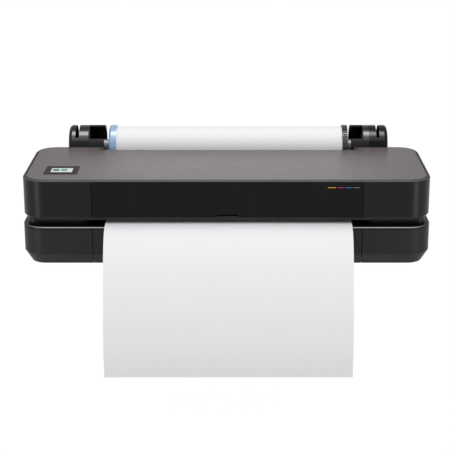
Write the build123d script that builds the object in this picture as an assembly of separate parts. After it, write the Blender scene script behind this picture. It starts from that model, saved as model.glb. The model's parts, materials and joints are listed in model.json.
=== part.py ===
from build123d import *
import math
import os

# Large format plotter: a two-level housing with a paper roll behind it and a sheet hanging from the front.
# Millimetres. +X is the right-hand end seen from the front, the front faces -Y, +Z is up.
# z = 0 is the underside of the base tray; y = 0 is the middle of the housing's depth.

# ---- driving dimensions: housing ----
WIDTH = 1013.0
LOWER_WIDTH = 1018.0
DEPTH = 342.0
FRONT = -DEPTH / 2
REAR = DEPTH / 2
FRONT_R = 58.0
REAR_R = 52.0
WALL = 3.0
LOWER_TOP = 98.5
CHAMFER_IN, CHAMFER_UP = 17.0, 28.0
UPPER_BOTTOM = 115.0
LIP_IN, LIP_UP = 7.0, 9.0
FACE_TOP = 215.0
RIM_IN, RIM_TOP = 5.0, 218.5
RIM_BAND = 6.0
GROOVE = 2.5
PLATE_GAP = 0.3
BARREL_CLEAR = 8.0
PLATE_T = 3.0
RECESS_X = (-332.0, 340.0)
RECESS_Y = 134.0
SEAM = 1.5
DECK_T = 4.5
DECK_BEVEL = 2.1
DECK_GAP = 1.3
NECK_SIDE, NECK_FRONT, NECK_REAR = 10.0, 32.0, 14.0
NECK_X = (-341.0, 349.0)

# ---- front door and its hinge ----
DOOR_X = (-332.5, 336.5)
DOOR_Z = 124.6
DOOR_T = 3.0
HINGE_Y, HINGE_Z, HINGE_R = FRONT + 3.0, 211.5, 3.0
PIN_R = 1.5
FIT = 0.06
PULL_X = (-23.0, 29.0)
PULL_TOP = 131.2
PULL_DEPTH = 9.0
PULL_OPEN = 4.8

# ---- touch screen on the top plate ----
BEZEL = ((-457.0, -373.0), (-113.0, -36.5))
BEZEL_TOP = 219.6
SCREEN = ((-441.0, -387.5), (-96.0, -55.5))

# ---- paper roll and its arms ----
ROLL_Y, ROLL_Z, ROLL_R = 226.0, 210.4, 50.0
PAPER_X = (-300.0, 310.0)
CORE_R, CORE_BORE = 29.0, 25.4
HUB_R = 54.2
HUB_LEFT_X = -320.0
HUB_RIGHT_X = 325.0
STUB_R, BAR_R = 15.0, 10.0
DRUM_R = 54.0
ARM_MID = 2.0
# each arm from its inner face outwards: inner face, drum, slot, end disc, outer face
ARM_STATIONS = {-1: (334.0, 377.0, 402.0, 411.5, 430.0), 1: (331.5, 365.5, 400.0, 408.0, 431.0)}
LIP_ANGLE = 149.0
END_WALL = 2.0
STUB_GAP = 1.0

# ---- paper web ----
WEB_T = 0.8
WEB_Z = 106.5
ROLL_GAP = 0.3
WEB_Y = ROLL_Y - ROLL_R - ROLL_GAP - WEB_T / 2
WEB_TURN_R = 42.0
EXIT_Y = -176.0
# the sheet beyond the front slot, as runs of (length, degrees it bends by)
HANG = [(52.4, 50), (59.3, 20), (139.6, 5), (69.8, 8), (79.7, 21)]

# ---- drive train ----
ROLL_TEETH, ROLL_PINION_TEETH, ROLL_MODULE = 60, 15, 1.75
FEED_TEETH, FEED_PINION_TEETH, FEED_MODULE = 60, 15, 1.0
FEED_Y, FEED_R = 25.0, 12.0
FEED_Z = WEB_Z - WEB_T / 2 - ROLL_GAP - FEED_R
PINCH_R = 6.0
PINCH_Z = WEB_Z + WEB_T / 2 + ROLL_GAP + PINCH_R
EXIT_ROLLER_Y, EXIT_ROLLER_R = -100.0, 5.0
EXIT_ROLLER_Z = WEB_Z - WEB_T / 2 - ROLL_GAP - EXIT_ROLLER_R
SHAFT_R = 3.0
PLATE_X, PLATE_SHEET = 443.0, 3.0
BELT_Y, BELT_Z, BELT_X = 20.0, 150.0, 424.0
PULLEY_R, BELT_T = 9.5, 1.4
ROD_Y, ROD_Z, ROD_R = -30.0, 138.0, 6.0
CARRIAGE_X = 384.0
CARRIAGE_W = 108.0
HEAD_BOTTOM = 109.0
BEAM_Y = 46.0
CUTTER_X = 330.0
MOTOR_R, MOTOR_L = 18.0, 34.0

# ---- ink ----
INK_X = (258.5, 279.5, 299.5, 319.0)
INK_W = 17.5

OUT = "parts"
os.makedirs(OUT, exist_ok=True)


def block(x0, x1, y0, y1, z0, z1):
    """A box from its limits along each axis."""
    box = Box(x1 - x0, y1 - y0, z1 - z0)
    return Pos((x0 + x1) / 2, (y0 + y1) / 2, (z0 + z1) / 2) * box


def x_rod(x0, x1, y, z, r):
    """A cylinder along X."""
    return Pos((x0 + x1) / 2, y, z) * Rot(0, 90, 0) * Cylinder(r, x1 - x0)


def y_rod(x, y0, y1, z, r):
    """A cylinder along Y."""
    return Pos(x, (y0 + y1) / 2, z) * Rot(90, 0, 0) * Cylinder(r, y1 - y0)


def z_rod(x, y, z0, z1, r):
    """A cylinder along Z."""
    return Pos(x, y, (z0 + z1) / 2) * Cylinder(r, z1 - z0)


def plan(inset, recess=False, width=WIDTH):
    """The housing's outline from above, drawn in by inset; the upper body has a recess at the rear."""
    w, d = width - 2 * inset, DEPTH - 2 * inset
    face = Rectangle(w, d)
    rear = face.vertices().group_by(Axis.Y)[-1]
    front = face.vertices().group_by(Axis.Y)[0]
    outline = fillet(rear, REAR_R - inset)
    front = outline.vertices().group_by(Axis.Y)[0]
    outline = fillet(front, FRONT_R - inset)
    if recess:
        x0, x1 = RECESS_X[0] - inset, RECESS_X[1] + inset
        y0, y1 = RECESS_Y - inset, REAR + 20.0
        cut = Pos((x0 + x1) / 2, (y0 + y1) / 2) * Rectangle(x1 - x0, y1 - y0)
        outline = outline - cut
    return outline


def low_plan(inset):
    """The lower body's outline, a little wider than the upper body's."""
    return plan(inset, width=LOWER_WIDTH)


def prism(face, z0, z1):
    """A flat outline carried straight up from z0 to z1."""
    return Pos(0, 0, z0) * extrude(face, z1 - z0)


def slope(low, z0, high, z1):
    """A ruled solid between two outlines at two heights."""
    return loft([Pos(0, 0, z0) * low, Pos(0, 0, z1) * high], ruled=True)


def yz_prism(points, x0, x1):
    """A closed outline of (y, z) points, carried along X."""
    face = Plane.YZ * make_face(Polyline(*points, close=True))
    return Pos(x0, 0, 0) * extrude(face, x1 - x0)


def group(*solids):
    """Separate solids that share one node."""
    return Compound(children=list(solids))


def write(name, shape):
    """Writes one node."""
    export_step(shape, f"{OUT}/{name}.step")


# ---------------------------------------------------------------- housing, lower body

def lower_solid(inset):
    """The lower body's outside, or the same drawn in by a wall."""
    foot = slope(low_plan(CHAMFER_IN + inset), 0, low_plan(inset), CHAMFER_UP)
    return foot + prism(low_plan(inset), CHAMFER_UP, LOWER_TOP - DECK_T - DECK_GAP)


def lower_shell():
    """The lower body's wall, open at the top and the bottom."""
    return lower_solid(0) - lower_solid(WALL)


def port_openings():
    """The holes in the rear cover that the sockets and the switch fill."""
    holes = [block(x0, x1, REAR - 10, REAR + 10, z0, z1) for x0, x1, z0, z1 in PORTS.values()]
    return holes


PORTS = {
    "inlet": (-294.0, -264.0, 42.0, 64.0),
    "switch": (-250.0, -234.0, 42.0, 64.0),
    "usb": (-190.0, -176.0, 46.0, 59.0),
    "ethernet": (-164.0, -146.0, 46.0, 61.0),
}
VENT_X0, VENT_STEP, VENT_COUNT = 40.0, 9.0, 24
SPLIT_Y = 118.0


def lower_covers():
    """Front, two ends and rear, parted at the seams."""
    shell = lower_shell()
    big = 2000.0
    low, high = -20.0, LOWER_TOP
    half = SEAM / 2
    left, right = DOOR_X
    front = shell & block(left + half, right - half, -big, 0, low, high)
    left_end = shell & block(-big, left - half, -big, SPLIT_Y, low, high)
    right_end = shell & block(right + half, big, -big, SPLIT_Y, low, high)
    rear = shell & block(-big, big, SPLIT_Y + SEAM, big, low, high)
    for hole in port_openings():
        rear -= hole
    for i in range(VENT_COUNT):
        x = VENT_X0 + i * VENT_STEP
        rear -= block(x, x + 4, REAR - 10, REAR + 10, 38, 66)
    write("lower_front_cover", front)
    write("lower_end_cover_left", left_end)
    write("lower_end_cover_right", right_end)
    write("lower_rear_cover", rear)


def mid_frame():
    """The deck over the lower body, with the recessed neck that carries the upper body."""
    deck = prism(low_plan(0), LOWER_TOP - DECK_T, LOWER_TOP)
    deck = chamfer(deck.faces().sort_by(Axis.Z)[-1].outer_wire().edges(), DECK_BEVEL)
    rib = low_plan(WALL + RIB_GAP) - low_plan(2 * WALL)
    deck += prism(rib, LOWER_TOP - DECK_T - DECK_GAP - RIB_DROP, LOWER_TOP - DECK_T)
    deck -= block(-466, 452, -75, 62, 90, 110)
    deck -= block(NECK_X[0], NECK_X[1], EXIT_ROLLER_Y - 8, EXIT_ROLLER_Y + 8, 90, 110)
    frame = deck
    x_out = WIDTH / 2 - NECK_SIDE
    y0, y1 = FRONT + NECK_FRONT, REAR - NECK_REAR
    for x0, x1 in ((-x_out, NECK_X[0]), (NECK_X[1], x_out)):
        outer = Pos((x0 + x1) / 2, (y0 + y1) / 2) * RectangleRounded(x1 - x0, y1 - y0, 18)
        inner = Pos((x0 + x1) / 2, (y0 + y1) / 2) * RectangleRounded(x1 - x0 - 5, y1 - y0 - 5, 15.5)
        frame += prism(outer - inner, LOWER_TOP - DECK_T, UPPER_BOTTOM)
    for x in NECK_X:
        frame -= block(x - 20, x + 20, -72, 60, LOWER_TOP - DECK_T - 1, UPPER_BOTTOM + 1)
    frame -= x_rod(NECK_X[0] - 6, NECK_X[1] + 6, EXIT_ROLLER_Y, EXIT_ROLLER_Z, SHAFT_R + FIT)
    write("mid_frame", frame)


RIB_GAP, RIB_DROP = 0.3, 3.0
STAND_X, STAND_Y, STAND_R = 380.0, 105.0, 3.25
FOOT_X, FOOT_Y, FOOT_R, FOOT_H = 430.0, 86.0, 14.0, 15.0
TRAY_INSET = CHAMFER_IN + WALL + 0.3


def base_tray():
    """Steel tray under everything, with an upstand and four holes for the stand."""
    tray = prism(low_plan(TRAY_INSET), 0, 2)
    wall = low_plan(TRAY_INSET + 3) - low_plan(TRAY_INSET + 5)
    tray += prism(wall, 2, 16)
    for x in (-STAND_X, STAND_X):
        for y in (-STAND_Y, STAND_Y):
            tray -= z_rod(x, y, -1, 3, STAND_R)
    write("base_tray", tray)
    feet = []
    for x in (-FOOT_X, FOOT_X):
        for y in (-FOOT_Y, FOOT_Y):
            foot = z_rod(x, y, -FOOT_H, 0, FOOT_R)
            feet.append(chamfer(foot.edges().sort_by(Axis.Z)[0], 2))
    write("feet", group(*feet))


# ---------------------------------------------------------------- housing, upper body

def upper_ring():
    """The upper body's wall, from the lip to the rim."""
    z0 = UPPER_BOTTOM + LIP_UP
    return prism(plan(0, True) - plan(WALL, True), z0, FACE_TOP)


def upper_covers():
    """End covers with the cheeks beside the door bay, and the rear wall of the recess."""
    ring = upper_ring()
    big = 2000.0
    half = SEAM / 2
    low, high = 100.0, 300.0
    for name, side, seam in (("left", -1, DOOR_X[0] - half), ("right", 1, DOOR_X[1] + half)):
        x0, x1 = sorted((side * big, seam))
        cover = ring & block(x0, x1, -big, big, low, high)
        if side < 0:
            cover -= block(RECESS_X[0] - WALL, big, RECESS_Y - 10, RECESS_Y, low, high)
        else:
            cover -= block(-big, RECESS_X[1] + WALL, RECESS_Y - 10, RECESS_Y, low, high)
        c0, c1 = sorted((seam, seam + side * WALL))
        cheek = block(c0, c1, FRONT + WALL, -72, UPPER_BOTTOM + LIP_UP, FACE_TOP - 2.5)
        cover += cheek
        cover -= x_rod(c0, c1, HINGE_Y, HINGE_Z, PIN_R)
        write(f"upper_end_cover_{name}", cover)
    x0, x1 = RECESS_X[0] - WALL, RECESS_X[1] + WALL
    wall = block(x0, x1, RECESS_Y - WALL, RECESS_Y, UPPER_BOTTOM + LIP_UP, FACE_TOP)
    for i in range(REAR_RIBS):
        x = x0 + (i + 1) * (x1 - x0) / (REAR_RIBS + 1)
        wall += block(x - 1, x + 1, RECESS_Y, RECESS_Y + 4, UPPER_BOTTOM + LIP_UP, FACE_TOP - 12)
    write("upper_rear_cover", wall)


REAR_RIBS = 13


FRAME_BAND = 30.0


def upper_bottom_frame():
    """The ring under the upper body, whose bevel is the lip above the dark gap."""
    ring = slope(plan(LIP_IN, True), UPPER_BOTTOM, plan(0, True), UPPER_BOTTOM + LIP_UP)
    rear_edge = RECESS_Y - FRAME_BAND
    opening = plan(FRAME_BAND) & Pos(0, (FRONT + rear_edge) / 2) * Rectangle(WIDTH, rear_edge - FRONT)
    ring -= prism(opening, UPPER_BOTTOM - 1, UPPER_BOTTOM + LIP_UP + 1)
    write("upper_bottom_frame", ring)


def top_rim():
    """The bevelled frame round the top, with the ledge that the plate lies on."""
    rim = slope(plan(0, True), FACE_TOP, plan(RIM_IN, True), RIM_TOP)
    rim -= prism(plan(RIM_BAND, True), FACE_TOP - 1, RIM_TOP + 1)
    ledge = plan(RIM_BAND - 1, True) - plan(RIM_BAND + 14, True)
    rim += prism(ledge, RIM_TOP - PLATE_T - 2.5, RIM_TOP - PLATE_T)
    for x in DOOR_X:
        rim -= block(x - 0.4, x + 0.4, FRONT - 1, FRONT + 4.5, FACE_TOP - 1, RIM_TOP + 1)
    rim -= block(*DOOR_X, FRONT, FRONT + BARREL_CLEAR, FACE_TOP - 10, FACE_TOP)
    x0, x1 = plate_rear_x(PLATE_GAP)
    edge = RIM_BAND + GROOVE + PLATE_GAP
    rim -= block(x0, x1, RECESS_Y - edge, RECESS_Y, RIM_TOP - PLATE_T, RIM_TOP + 1)
    write("top_rim", rim)


def plate_rear_x(gap):
    """The limits in X of the lid's strip along the recess, with a gap beyond it."""
    edge = RIM_BAND + GROOVE + gap
    return RECESS_X[0] - edge, RECESS_X[1] + edge


def top_plate():
    """The flat lid, with a pocket for the screen."""
    x0, x1 = plate_rear_x(0)
    plate = prism(plan(RIM_BAND + GROOVE, True), RIM_TOP - PLATE_T, RIM_TOP)
    plate += block(x0, x1, RECESS_Y - 2 * RIM_BAND, RECESS_Y - PLATE_GAP, RIM_TOP - PLATE_T, RIM_TOP)
    (x0, x1), (y0, y1) = BEZEL
    plate -= block(x0, x1, y0, y1, RIM_TOP - PLATE_T - 1, RIM_TOP + 1)
    write("top_plate", plate)


def screen():
    """The dark bezel let into the lid, and the glass in it."""
    (x0, x1), (y0, y1) = BEZEL
    bezel = block(x0, x1, y0, y1, RIM_TOP - PLATE_T, BEZEL_TOP)
    bezel = fillet(bezel.edges().filter_by(Axis.Z), 5)
    bezel = chamfer(bezel.faces().sort_by(Axis.Z)[-1].outer_wire().edges(), 0.8)
    (a0, a1), (b0, b1) = SCREEN
    bezel -= block(a0, a1, b0, b1, BEZEL_TOP - 2, BEZEL_TOP + 1)
    write("screen_bezel", bezel)
    glass = block(a0, a1, b0, b1, BEZEL_TOP - 2, BEZEL_TOP - 0.4)
    write("touch_screen", glass)


def front_door():
    """A flat panel with its hinge barrel along the top and a finger pull at the bottom."""
    x0, x1 = DOOR_X[0] + 0.5, DOOR_X[1] - 0.5
    door = block(x0, x1, FRONT, FRONT + DOOR_T, DOOR_Z, HINGE_Z)
    door += x_rod(x0, x1, HINGE_Y, HINGE_Z, HINGE_R)
    p0, p1 = PULL_X
    back = FRONT + DOOR_T + PULL_DEPTH
    door += block(p0 - 2, p1 + 2, FRONT + DOOR_T, back, DOOR_Z + 1.2, PULL_TOP + 2)
    low, high = DOOR_Z + 1, PULL_TOP - PULL_OPEN
    scoop = [(FRONT - 1, low), (FRONT - 1, PULL_TOP), (back - 2, PULL_TOP), (back - 2, high), (FRONT, low)]
    door -= yz_prism(scoop, p0, p1)
    for i in range(PULL_RIBS):
        x = PULL_RIB_X + i * PULL_RIB_STEP
        rib = [(FRONT + 2, low), (FRONT + 2, low + 0.6), (back - 2, high + 0.4), (back - 2, low)]
        door += yz_prism(rib, x, x + 1)
    for x, step in ((x0, 1), (x1, -1)):
        ends = sorted((x - step, x + step * (PIN_REACH + 0.5)))
        door -= x_rod(ends[0], ends[1], HINGE_Y, HINGE_Z, PIN_R + FIT)
    write("front_door", door)
    pins = []
    for x, side in ((DOOR_X[0] - SEAM / 2 - WALL, 1), (DOOR_X[1] + SEAM / 2 + WALL, -1)):
        a, b = sorted((x, x + side * (WALL + PIN_REACH)))
        pins.append(x_rod(a, b, HINGE_Y, HINGE_Z, PIN_R))
    write("door_hinge_pins", group(*pins))


PULL_RIBS, PULL_RIB_X, PULL_RIB_STEP = 8, -8.0, 3.6
PIN_REACH = 10.0
MARK_X = ((249.0, 268.0), (271.0, 288.0), (291.0, 307.5), (311.0, 327.0))
MARK_Z, MARK_HALF = 200.5, 0.6


def ink_marks():
    """Four thin coloured bars set on the door, one over each ink."""
    marks = [block(a, b, FRONT - 0.4, FRONT, MARK_Z - MARK_HALF, MARK_Z + MARK_HALF) for a, b in MARK_X]
    write("ink_marks", group(*marks))


# ---------------------------------------------------------------- gears

def gear(teeth, module, width, bore=0.0, turn=0.0):
    """A spur gear along X, its first tooth's middle at turn degrees from +Y towards +Z."""
    pitch = teeth * module / 2
    root, tip = pitch - 1.2 * module, pitch + 0.9 * module
    step = 360 / teeth
    stations = ((root, -0.27), (pitch, -0.215), (tip, -0.10), (tip, 0.10), (pitch, 0.215), (root, 0.27))
    points = []
    for i in range(teeth):
        for radius, share in stations:
            a = math.radians(turn + (i + share) * step)
            points.append((radius * math.cos(a), radius * math.sin(a)))
    face = Plane.YZ * make_face(Polyline(*points, close=True))
    wheel = extrude(face, width)
    if bore:
        wheel -= x_rod(-1, width + 1, 0, 0, bore)
    return wheel


def mesh_turn(teeth, wheel_teeth, wheel_turn, direction):
    """The turn that puts a pinion's gap where a wheel's tooth is, seen from the wheel at direction."""
    phase = ((direction - wheel_turn) / (360 / wheel_teeth)) % 1
    return direction + 180 + (phase + 0.5) * 360 / teeth


# ---------------------------------------------------------------- roll

ROLL_PINION_AT = 225.0
ROLL_CENTRES = (ROLL_TEETH + ROLL_PINION_TEETH) * ROLL_MODULE / 2
PINION_Y = ROLL_Y + ROLL_CENTRES * math.cos(math.radians(ROLL_PINION_AT))
PINION_Z = ROLL_Z + ROLL_CENTRES * math.sin(math.radians(ROLL_PINION_AT))
PINION_SHAFT_R = 4.0
PINION_W, PINION_REACH = 12.0, 372.0


def tube(x0, x1, y, z, outer, inner):
    """A hollow cylinder along X."""
    return x_rod(x0, x1, y, z, outer) - x_rod(x0 - 1, x1 + 1, y, z, inner)


def stub_end(side):
    """Where the spindle's stub ends, just clear of the cradle's end wall."""
    return ARM_MID + side * (ARM_STATIONS[side][1] - END_WALL - STUB_GAP)


def roll():
    """The paper on its core, the spindle, and the two hubs that turn with it."""
    write("paper_roll", tube(*PAPER_X, ROLL_Y, ROLL_Z, ROLL_R, CORE_R))
    write("roll_core", tube(*PAPER_X, ROLL_Y, ROLL_Z, CORE_R, CORE_BORE))
    bar = x_rod(HUB_LEFT_X, HUB_RIGHT_X, ROLL_Y, ROLL_Z, BAR_R)
    bar += x_rod(stub_end(-1), HUB_LEFT_X, ROLL_Y, ROLL_Z, STUB_R)
    bar += x_rod(HUB_RIGHT_X, stub_end(1), ROLL_Y, ROLL_Z, STUB_R)
    ends = bar.edges().filter_by(GeomType.CIRCLE).sort_by(Axis.X)
    write("spindle", chamfer([ends[0], ends[-1]], 1.5))
    flange = x_rod(HUB_LEFT_X, PAPER_X[0], ROLL_Y, ROLL_Z, HUB_R)
    flange = fillet(flange.edges().sort_by(Axis.X)[0], 7)
    flange += x_rod(PAPER_X[0], PAPER_X[0] + 30, ROLL_Y, ROLL_Z, CORE_BORE - 0.2)
    write("hub_left", flange - x_rod(-400, -200, ROLL_Y, ROLL_Z, BAR_R))
    wheel = Pos(PAPER_X[1], ROLL_Y, ROLL_Z) * gear(ROLL_TEETH, ROLL_MODULE, HUB_RIGHT_X - PAPER_X[1])
    wheel += x_rod(PAPER_X[1] - 30, PAPER_X[1], ROLL_Y, ROLL_Z, CORE_BORE - 0.2)
    write("hub_right", wheel - x_rod(200, 400, ROLL_Y, ROLL_Z, BAR_R))
    turn = mesh_turn(ROLL_PINION_TEETH, ROLL_TEETH, 0.0, ROLL_PINION_AT)
    x0 = PAPER_X[1] + 2.5
    pinion = Pos(x0, PINION_Y, PINION_Z) * gear(ROLL_PINION_TEETH, ROLL_MODULE, PINION_W, turn=turn)
    pinion += x_rod(x0 + PINION_W, ARM_MID + PINION_REACH, PINION_Y, PINION_Z, PINION_SHAFT_R)
    write("roll_pinion", pinion)


def arm_body(inner, outer, side):
    """A drum with a rounded outer end, on a foot that stands against the housing."""
    drum = x_rod(*sorted((inner, outer)), ROLL_Y, ROLL_Z, DRUM_R)
    rim = drum.edges().filter_by(GeomType.CIRCLE).sort_by(Axis.X)[-1 if side > 0 else 0]
    drum = fillet(rim, DISC_ROUND)
    foot = yz_prism([(REAR + 0.4, 120), (REAR + 0.4, 196), (ROLL_Y - 20, ROLL_Z),
                     (ROLL_Y + DRUM_R - 4, ROLL_Z),
                     (ROLL_Y + 42, 168), (ROLL_Y - 8, 120)], *sorted((inner, outer - side * DISC_ROUND)))
    return drum + foot


def open_sector(x0, x1, radius):
    """The wedge at the top front, between the drum's lip and its top."""
    a = math.radians(LIP_ANGLE)
    reach = 3 * radius
    points = [(ROLL_Y, ROLL_Z), (ROLL_Y + reach * math.cos(a), ROLL_Z + reach * math.sin(a)),
              (ROLL_Y - reach, ROLL_Z + reach), (ROLL_Y, ROLL_Z + reach)]
    return yz_prism(points, x0, x1)


CRADLE_T = 5.0
SEAT_W = 20.0
SLOT_FLOOR, SLOT_TILT = 16.0, 17.0
DISC_ROUND = 10.0


def arm(name, side):
    """A drum-shaped arm with a slot behind its rounded end disc, and its open cradle."""
    inner, drum, slot_a, slot_b, outer = [ARM_MID + side * v for v in ARM_STATIONS[side]]
    body = arm_body(inner, outer, side)
    slot = block(*sorted((slot_a, slot_b)), -2 * DRUM_R, 2 * DRUM_R, SLOT_FLOOR, 2 * DRUM_R)
    body -= Pos(0, ROLL_Y, ROLL_Z) * Rot(-SLOT_TILT, 0, 0) * slot
    pocket = sorted((inner, drum))
    bore_from = pocket[0] - (1 if side > 0 else 0)
    bore_to = pocket[1] + (0 if side > 0 else 1)
    body -= x_rod(bore_from, bore_to, ROLL_Y, ROLL_Z, DRUM_R)
    body -= open_sector(*pocket, DRUM_R)
    if side > 0:
        body -= x_rod(inner - 1, ARM_MID + PINION_REACH + 1, PINION_Y, PINION_Z, PINION_SHAFT_R + FIT)
    for x in ARM_SCREW_X:
        body -= block(ARM_MID + side * x - 6, ARM_MID + side * x + 6, REAR + 6, 260, 110, 144)
    write(f"roll_arm_{name}", body)
    cradle = x_rod(*pocket, ROLL_Y, ROLL_Z, DRUM_R)
    clear = sorted((inner - side, drum - side * END_WALL))
    cradle -= x_rod(*clear, ROLL_Y, ROLL_Z, DRUM_R - CRADLE_T)
    saddle = sorted((drum - side * END_WALL, drum - side * (END_WALL + SEAT_W)))
    seat = block(*saddle, ROLL_Y - 22, ROLL_Y + 22, ROLL_Z - DRUM_R + 3, ROLL_Z)
    seat &= x_rod(*saddle, ROLL_Y, ROLL_Z, DRUM_R - 1)
    cradle += seat
    cradle -= open_sector(*clear, DRUM_R)
    cradle -= x_rod(*clear, ROLL_Y, ROLL_Z, STUB_R + FIT)
    write(f"cradle_{name}", cradle)


ARM_SCREW_X = (350.0, 410.0)


# ---------------------------------------------------------------- paper path

def web_side(off):
    """The web's edge line, off to the left of its middle, as lines and arcs from the roll to the end."""
    turn_y, turn_z = WEB_Y - WEB_TURN_R, WEB_Z + WEB_TURN_R
    runs = [(ROLL_Z - turn_z, 0), (WEB_TURN_R * math.pi / 2, -90), (turn_y - EXIT_Y, 0)] + HANG
    y, z, heading = WEB_Y, ROLL_Z, 270.0
    spots = [beside(y, z, heading, off)]
    edges = []
    for length, turn in runs:
        for _ in range(2):
            chord = math.radians(heading + turn / 4)
            half = math.radians(turn / 4)
            step = length / 2 * (math.sin(half) / half if turn else 1)
            y, z, heading = y + step * math.cos(chord), z + step * math.sin(chord), heading + turn / 2
            spots.append(beside(y, z, heading, off))
        edges.append(ThreePointArc(*spots[-3:]) if turn else Line(spots[-3], spots[-1]))
    return edges, spots[0], spots[-1]


def beside(y, z, heading, off):
    """A point off to the left of (y, z), for something going along heading."""
    a = math.radians(heading)
    return (y - off * math.sin(a), z + off * math.cos(a))


def web_face():
    """The sheet's section: down from the roll, round the turn, through the machine and hanging in front."""
    near, near_start, near_end = web_side(-WEB_T / 2)
    far, far_start, far_end = web_side(WEB_T / 2)
    return make_face(Curve() + [Line(near_start, far_start), *near, *far, Line(near_end, far_end)])


def paper_sheet():
    """The printed sheet, one piece from the roll to its hanging end."""
    face = Plane.YZ * web_face()
    write("paper_sheet", Pos(PAPER_X[0], 0, 0) * extrude(face, PAPER_X[1] - PAPER_X[0]))


def rear_guide():
    """The curved trough that leads the web from the roll into the machine."""
    turn_y, turn_z = WEB_Y - WEB_TURN_R, WEB_Z + WEB_TURN_R
    inner, outer = WEB_TURN_R + 1.8, WEB_TURN_R + 4.3
    x0, x1 = PAPER_X[0] - 24, PAPER_X[1] + 1
    ring = tube(x0, x1, turn_y, turn_z, outer, inner)
    ring &= block(x0, x1, turn_y, turn_y + outer + 1, turn_z - outer - 1, turn_z)
    for i in range(GUIDE_LEGS):
        x = x0 + 20 + i * (x1 - x0 - 44) / (GUIDE_LEGS - 1)
        leg = block(x, x + 4, turn_y + 2, REAR - 4, LOWER_TOP, turn_z - 18)
        ring += leg - x_rod(x - 1, x + 5, turn_y, turn_z, outer - 0.5)
    write("rear_guide", ring)


GUIDE_LEGS = 6


def rollers():
    """Feed, pinch and exit rollers, and the feed gears."""
    feed = x_rod(-320, 330, FEED_Y, FEED_Z, FEED_R)
    feed += x_rod(-PLATE_X - 14, PLATE_X + PLATE_SHEET, FEED_Y, FEED_Z, 5)
    write("feed_roller", feed)
    wheel = gear(FEED_TEETH, FEED_MODULE, 9, bore=5.0)
    write("feed_gear", Pos(-PLATE_X - 14, FEED_Y, FEED_Z) * wheel)
    turn = mesh_turn(FEED_PINION_TEETH, FEED_TEETH, 0.0, FEED_PINION_AT)
    pinion = gear(FEED_PINION_TEETH, FEED_MODULE, 9, turn=turn)
    pinion = Pos(-PLATE_X - 14, FEED_PINION_Y, FEED_PINION_Z) * pinion
    pinion += x_rod(-PLATE_X - 5, -PLATE_X + 20, FEED_PINION_Y, FEED_PINION_Z, 2.5)
    write("feed_pinion", pinion)
    pinch = x_rod(PINCH_X[0], PINCH_X[-1] + 8, FEED_Y, PINCH_Z, SHAFT_R)
    for x0, x1 in zip(PINCH_X[:-1], PINCH_X[1:]):
        middle = (x0 + x1 + 8) / 2
        pinch += x_rod(middle - 30, middle + 30, FEED_Y, PINCH_Z, PINCH_R)
    write("pinch_rollers", pinch)
    brackets = []
    for x in PINCH_X:
        arm_ = block(x, x + 8, FEED_Y - 5, BEAM_Y, PINCH_Z - 5, PINCH_Z + 14)
        brackets.append(arm_ - x_rod(x - 1, x + 9, FEED_Y, PINCH_Z, SHAFT_R + FIT))
    write("pinch_brackets", group(*brackets))
    exit_ = x_rod(NECK_X[0] - 2.4, NECK_X[1] + 2.4, EXIT_ROLLER_Y, EXIT_ROLLER_Z, SHAFT_R)
    for i in range(EXIT_WHEELS):
        x = PAPER_X[0] + 20 + i * (PAPER_X[1] - PAPER_X[0] - 56) / (EXIT_WHEELS - 1)
        exit_ += x_rod(x, x + 16, EXIT_ROLLER_Y, EXIT_ROLLER_Z, EXIT_ROLLER_R)
    write("exit_roller", exit_)


PINCH_X = (-318.0, -158.0, 2.0, 162.0, 322.0)
EXIT_WHEELS = 9
FEED_PINION_AT = 240.0
FEED_CENTRES = (FEED_TEETH + FEED_PINION_TEETH) * FEED_MODULE / 2
FEED_PINION_Y = FEED_Y + FEED_CENTRES * math.cos(math.radians(FEED_PINION_AT))
FEED_PINION_Z = FEED_Z + FEED_CENTRES * math.sin(math.radians(FEED_PINION_AT))


def cutter():
    """The rail along the front slot and the small carriage with the round blade."""
    y0 = FRONT + 30
    rail = block(NECK_X[0] + 1, NECK_X[1] - 1, y0, y0 + 3.5, 109.5, UPPER_BOTTOM + LIP_UP)
    rail += block(NECK_X[0] + 1, NECK_X[1] - 1, y0 + 3.5, y0 + 8, 111.5, 113.5)
    write("cutter_rail", rail)
    y1 = y0 + 3.9
    body = block(CUTTER_X - 15, CUTTER_X + 15, y1, y1 + 18, 108.6, 121)
    body -= block(CUTTER_X - 16, CUTTER_X + 16, y1 - 1, y0 + 8.4, 111.1, 113.9)
    blade = y_rod(CUTTER_X, y1 + 18, y1 + 19.5, 113.5, 6)
    write("cutter", body + blade)


# ---------------------------------------------------------------- chassis and carriage

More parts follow.
